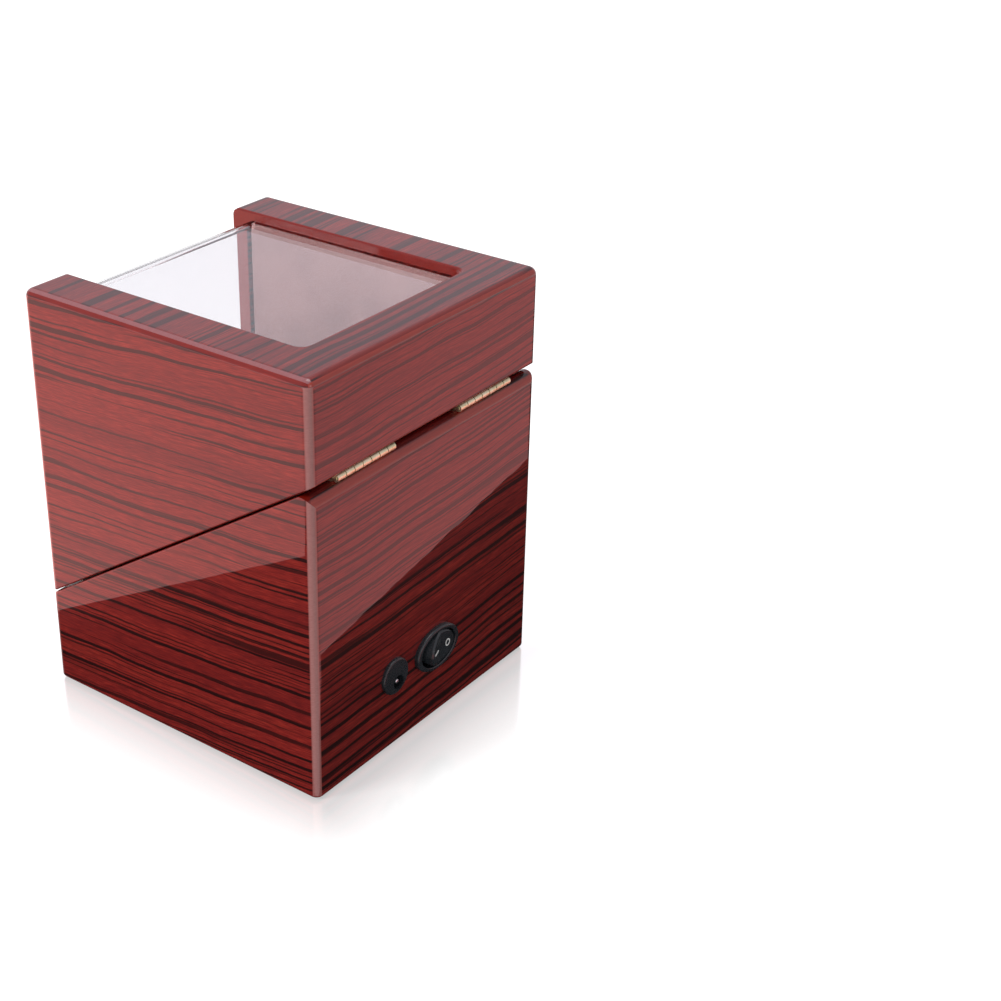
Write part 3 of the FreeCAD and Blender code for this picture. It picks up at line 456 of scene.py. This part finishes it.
def rocker_marks():
    """White bar on the raised end and white ring on the pressed end, each a thin print on its facet."""
    ink = plastic("white_print", srgb(225, 225, 222), srgb(240, 240, 238), 0.45, 0.6)
    joint = next(j for j in frame["record"]["behaviour"]["joints"] if j["name"] == "rocker_tilt")
    pivot = Vector(joint["pos_m"])
    half = ROCKER_REACH / math.cos(ROCKER_TILT) / 2
    rest = Matrix.Translation(pivot) @ Matrix.Rotation(ROCKER_TILT, 4, "Z")
    for name, sign in (("rocker_mark_on", 1), ("rocker_mark_off", -1)):
        facet = rest @ Matrix.Translation((0, ROCKER_VEE, 0)) @ Matrix.Rotation(sign * ROCKER_TILT, 4, "Z")
        centre = facet @ Matrix.Translation((sign * half, MARK_LIFT, 0))
        bm = bar_mesh() if sign > 0 else ring_mesh()
        bm.transform(centre)
        mesh_piece(name, bm, ink, "rocker")


def slab(bm, loops, closed):
    """Thin print between two loops of points on the facet's x and z, one ink layer thick."""
    layers = []
    for depth in (0.0, -2 * MARK_LIFT):
        layers.append([[bm.verts.new((px, depth, pz)) for px, pz in loop] for loop in loops])
    count = len(loops[0])
    for i in range(count if closed else count - 1):
        j = (i + 1) % count
        top, low = layers
        bm.faces.new((top[0][i], top[0][j], top[1][j], top[1][i]))
        bm.faces.new((low[0][j], low[0][i], low[1][i], low[1][j]))
        bm.faces.new((top[0][j], top[0][i], low[0][i], low[0][j]))
        bm.faces.new((top[1][i], top[1][j], low[1][j], low[1][i]))
    if not closed:
        for i, flip in ((0, False), (count - 1, True)):
            ends = [layers[0][0][i], layers[0][1][i], layers[1][1][i], layers[1][0][i]]
            bm.faces.new(ends[::-1] if flip else ends)
    bmesh.ops.recalc_face_normals(bm, faces=bm.faces)
    return bm


def bar_mesh():
    """Bar with its corners taken off."""
    reach = BAR_LENGTH / 2
    half = BAR_WIDTH / 2
    steps = [(-1.0, 0.55), (-0.86, 1.0), (0.86, 1.0), (1.0, 0.55)]
    loops = [[(reach * t, side * half * w) for t, w in steps] for side in (-1, 1)]
    return slab(bmesh.new(), loops, False)


def ring_mesh():
    """Ring a little taller than wide."""
    turns = [2 * math.pi * i / RING_STEPS for i in range(RING_STEPS)]
    radii = (RING_RADIUS - RING_WIDTH, RING_RADIUS)
    loops = [[(r * math.cos(a), RING_STRETCH * r * math.sin(a)) for a in turns] for r in radii]
    return slab(bmesh.new(), loops, True)


def slope_matrix(node):
    """Frame at a node's middle: x across, y up the slope, z out of it."""
    mesh = NODES[node].data
    middle = sum((v.co for v in mesh.vertices), Vector()) / len(mesh.vertices)
    turn = Matrix((Vector((1, 0, 0)), UP_SLOPE, OUT_OF_SLOPE)).transposed().to_4x4()
    return Matrix.Translation(middle) @ turn


def puffed(obj):
    """Blows the cover up a little with cloth and applies the result, no point moving beyond the cap."""
    start = [v.co.copy() for v in obj.data.vertices]
    cloth = obj.modifiers.new("cloth", "CLOTH")
    cloth.settings.use_pressure = True
    cloth.settings.uniform_pressure_force = PUFF_PRESSURE
    cloth.settings.effector_weights.gravity = 0.0
    scene = bpy.context.scene
    for step in range(1, PUFF_STEPS + 1):
        scene.frame_set(step)
    shape = obj.evaluated_get(bpy.context.evaluated_depsgraph_get())
    moved = [v.co.copy() for v in shape.data.vertices]
    obj.modifiers.remove(cloth)
    scene.frame_set(1)
    for vertex, before, after in zip(obj.data.vertices, start, moved):
        step = after - before
        vertex.co = before + step * min(1.0, CUSHION_CAP / max(step.length, 1e-9))


def watch_cushion(material):
    """Velvet watch pillow: crowned block with drawn-in sides, blown up as cloth."""
    place = slope_matrix("watch_cushion")
    back = place.inverted()
    points = [back @ v.co for v in NODES["watch_cushion"].data.vertices]
    low = Vector([min(p[i] for p in points) for i in range(3)])
    high = Vector([max(p[i] for p in points) for i in range(3)])
    size = (high - low) / 2
    middle = (high + low) / 2
    bm = bmesh.new()
    bmesh.ops.create_cube(bm, size=2.0)
    bmesh.ops.subdivide_edges(bm, edges=bm.edges, cuts=CUSHION_CUTS, use_grid_fill=True)
    for v in bm.verts:
        v.co = pillow_point(v.co, size) * CUSHION_SHRINK + middle
    bm.transform(place)
    cushion = mesh_piece("cushion_pillow", bm, material, "cushion")
    remesh = cushion.modifiers.new("even", "REMESH")
    remesh.mode = "VOXEL"
    remesh.voxel_size = CUSHION_VOXEL
    even = bpy.data.meshes.new_from_object(cushion.evaluated_get(bpy.context.evaluated_depsgraph_get()))
    cushion.modifiers.remove(remesh)
    cushion.data = even
    if not even.materials:
        even.materials.append(material)
    puffed(cushion)
    for face in even.polygons:
        face.use_smooth = True
    smooth = cushion.modifiers.new("smooth", "SUBSURF")
    smooth.levels = 1
    smooth.render_levels = 1
    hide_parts("watch_cushion")


def pillow_point(p, size):
    """A point of the unit cube, rounded to a crowned pillow whose sides draw in between the corners."""
    x, y, z = p
    rim = max(abs(x), abs(y))
    reach = (abs(x) ** PILLOW_POWER + abs(y) ** PILLOW_POWER) ** (1 / PILLOW_POWER) or 1.0
    plan = rim / reach
    draw = 1.0
    if abs(y) > 0.99:
        draw -= DRAW_ENDS * math.cos(math.pi * x / 2)
    if abs(x) > 0.99:
        draw -= DRAW_SIDES * math.cos(math.pi * y / 2)
    crown = 1 - CROWN_DROP * rim ** 4
    waist = 1 - WAIST_DROP * abs(z) ** 6
    spread = plan * draw * waist
    return Vector((x * spread * size.x, y * spread * size.y, z * crown * size.z))


def camera():
    """Camera at the fitted place, which is given back."""
    azimuth = math.radians(CAMERA_AZIMUTH)
    elevation = math.radians(CAMERA_ELEVATION)
    back = Vector((math.sin(azimuth) * math.cos(elevation), -math.cos(azimuth) * math.cos(elevation),
                   math.sin(elevation)))
    right = (-back).cross(Vector((0, 0, 1))).normalized()
    up = right.cross(-back)
    low, high = CAD_BOX
    felt_low, felt_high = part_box("base_felt")
    middle = Vector(((low.x + high.x) / 2, (felt_low[1] + felt_high[1]) / 2, (low.z + high.z) / 2))
    place = middle + right * AIM_RIGHT + up * AIM_UP + back * CAMERA_DISTANCE
    roll = math.radians(CAMERA_ROLL)
    rolled_right = right * math.cos(roll) + up * math.sin(roll)
    rolled_up = up * math.cos(roll) - right * math.sin(roll)
    data = bpy.data.cameras.new("camera")
    data.lens = CAMERA_LENS
    data.sensor_width = 36.0
    data.shift_x, data.shift_y = CAMERA_SHIFT
    data.clip_start = 0.01
    data.clip_end = 50.0
    obj = bpy.data.objects.new("camera", data)
    turn = Matrix((rolled_right, rolled_up, back)).transposed().to_4x4()
    obj.matrix_world = Matrix.Translation(place) @ turn
    bpy.context.collection.objects.link(obj)
    bpy.context.scene.camera = obj
    return place


def gap_to_box(g):
    """Level distance from a place on the floor to the foot of the box."""
    low, high = CAD_BOX
    total = 0.0
    for place, least, most in zip(g.place(), low[:2], high[:2]):
        off = g.math("ABSOLUTE", g.math("SUBTRACT", place, (least + most) / 2))
        gap = g.math("MAXIMUM", g.math("SUBTRACT", off, (most - least) / 2), 0.0)
        total = g.math("ADD", g.math("MULTIPLY", gap, gap), total)
    return g.math("SQRT", total)


def floor():
    """Pale glossy table that keeps the shadow, with a mirror image of the box that fades away from it."""
    bpy.ops.mesh.primitive_plane_add(size=FLOOR_SIZE, location=(0, 0, -FLOOR_DROP))
    obj = bpy.context.object
    obj.name = "floor"
    g = Graph("floor")
    near = g.ramp(g.math("DIVIDE", gap_to_box(g), MIRROR_REACH), (0.0, 1.0), (1.0, 0.0))
    lift = g.math("ADD", g.math("MULTIPLY", near, MIRROR_LIFT), FLOOR_LIFT)
    path = g.add("LightPath").outputs
    through = g.math("MULTIPLY", path["Is Transmission Ray"], PANE_LIFT)
    bright = g.math("ADD", g.math("MULTIPLY", path["Is Camera Ray"], lift), through)
    matt = g.add("BsdfDiffuse", {"Color": (0.55, 0.55, 0.55, 1)}).outputs[0]
    glow = g.add("Emission", {"Color": (1, 1, 1, 1), "Strength": bright}).outputs[0]
    base = g.add("AddShader", {0: matt, 1: glow}).outputs[0]
    gloss = g.add("BsdfGlossy", {"Color": (1, 1, 1, 1), "Roughness": 0.12}).outputs[0]
    share = g.math("MULTIPLY", near, FLOOR_MIRROR)
    g.feed(g.output.inputs["Surface"], g.add("MixShader", {0: share, 1: base, 2: gloss}).outputs[0])
    paint(obj, g.material)
    obj.visible_glossy = False


def mirrored_on_floor(eye, point, axis):
    """Where the camera, by way of a face square to axis, sees the floor at a point of that face."""
    image = eye.copy()
    image[axis] = 2 * point[axis] - eye[axis]
    ray = point - image
    return point + ray * (-point.z / ray.z)


def mirror_card(name, corners, colour, depth):
    """Flat card in place of the table, which only gloss sees."""
    bm = bmesh.new()
    bm.faces.new([bm.verts.new((c[0], c[1], -depth)) for c in corners])
    mesh = bpy.data.meshes.new(name)
    bm.to_mesh(mesh)
    bm.free()
    obj = bpy.data.objects.new(name, mesh)
    bpy.context.collection.objects.link(obj)
    g = Graph(name)
    glow = g.add("Emission", {"Color": colour, "Strength": 1.0}).outputs[0]
    g.feed(g.output.inputs["Surface"], glow)
    mesh.materials.append(g.material)
    obj.visible_camera = False
    obj.visible_diffuse = False
    obj.visible_transmission = False
    obj.visible_volume_scatter = False
    obj.visible_shadow = False


def mirror_cards(eye):
    """Cards that the side and back mirror: dark ones below a slanting edge, pale ones beyond it."""
    side_x = CAD_BOX[1].x
    back_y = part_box("lid_back_board")[1][1]
    felt_low, felt_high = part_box("base_felt")
    middle = (felt_low[1] + felt_high[1]) / 2
    side = [Vector((side_x, middle + y * MM, z * MM)) for y, z in SIDE_SHEEN]
    back = [Vector((x * MM, back_y, z * MM)) for x, z in BACK_SHEEN]
    faces = (("side", side, 0, back_y, SIDE_GLOW), ("back", back, 1, side_x, BACK_GLOW))
    for name, edge, axis, most, glow in faces:
        ends = [mirrored_on_floor(eye, p, axis) for p in edge]
        run = (ends[1] - ends[0]).normalized()
        away = Vector((-run.y, run.x, 0))
        away = away if away[axis] > 0 else -away
        ends = [ends[0] - run * CARD_OVERRUN, ends[1] + run * CARD_OVERRUN]
        far = [e + away * CARD_REACH for e in ends]
        near = [e - away * FLAG_REACH for e in ends]
        card = clipped(ends + far[::-1], 1 - axis, most)
        flag = clipped(ends + near[::-1], 1 - axis, most)
        mirror_card(name + "_card", card, glow, CARD_DEPTH)
        mirror_card(name + "_flag", flag, FLAG_GLOW, FLAG_DEPTH)
    t = TABLE_HALF
    mirror_card("table_card", [(-t, -t), (t, -t), (t, t), (-t, t)], TABLE_GLOW, TABLE_DEPTH)


def clipped(corners, axis, most):
    """The part of a flat outline on the low side of a line square to an axis."""
    kept = []
    for a, b in zip(corners, corners[1:] + corners[:1]):
        if a[axis] <= most:
            kept.append(a)
        if (a[axis] <= most) != (b[axis] <= most):
            kept.append(a + (b - a) * ((most - a[axis]) / (b[axis] - a[axis])))
    return kept


def area_light(name, place, size, watts, mirrored=True):
    """Round soft light turned to the box."""
    data = bpy.data.lights.new(name, "AREA")
    data.shape = "DISK"
    data.size = size
    data.energy = watts
    obj = bpy.data.objects.new(name, data)
    obj.visible_glossy = mirrored
    obj.location = place
    obj.rotation_mode = "QUATERNION"
    obj.rotation_quaternion = (LIGHT_AIM - Vector(place)).to_track_quat("-Z", "Y")
    bpy.context.collection.objects.link(obj)


def lights():
    """A key that no gloss mirrors, as it would burn out the open lid, and two softer lights."""
    area_light("key", (1.1, -0.5, 0.9), 0.5, 14.0, mirrored=False)
    area_light("overhead", (-0.2, 0.1, 1.5), 0.9, 6.0)
    area_light("back_fill", (0.3, 1.4, 0.6), 0.6, 1.6)


def studio():
    """In gloss, a pale backdrop behind the box and a dimmer room, and elsewhere a plain sky."""
    world = bpy.data.worlds.new("studio")
    bpy.context.scene.world = world
    g = Graph("studio", world)
    toward = g.add("SeparateXYZ", {0: g.add("TexCoord").outputs["Generated"]}).outputs
    behind = g.math("ADD", *(g.math("MULTIPLY", toward[i], BACKDROP_WAY[i]) for i in range(2)))
    backdrop = g.ramp(behind, (0.05, ROOM_GLOSS), (0.35, BACKDROP_GLOSS))
    path = g.add("LightPath").outputs
    straight = g.math("MAXIMUM", path["Is Camera Ray"], path["Is Transmission Ray"])
    shown = g.math("MAXIMUM", straight, g.math("MULTIPLY", path["Is Glossy Ray"], backdrop))
    plain = g.math("MULTIPLY", path["Is Diffuse Ray"], SKY_LEVEL)
    background = g.nodes["Background"]
    g.feed(background.inputs["Color"], g.mix(path["Is Glossy Ray"], (1, 1, 1, 1), BACKDROP_TINT))
    g.feed(background.inputs["Strength"], g.math("MAXIMUM", shown, plain))


bpy.context.scene.view_settings.view_transform = "Standard"
materials = dress_nodes()
rocker_marks()
watch_cushion(materials["cushion_velvet"])
eye = camera()
floor()
mirror_cards(eye)
lights()
studio()
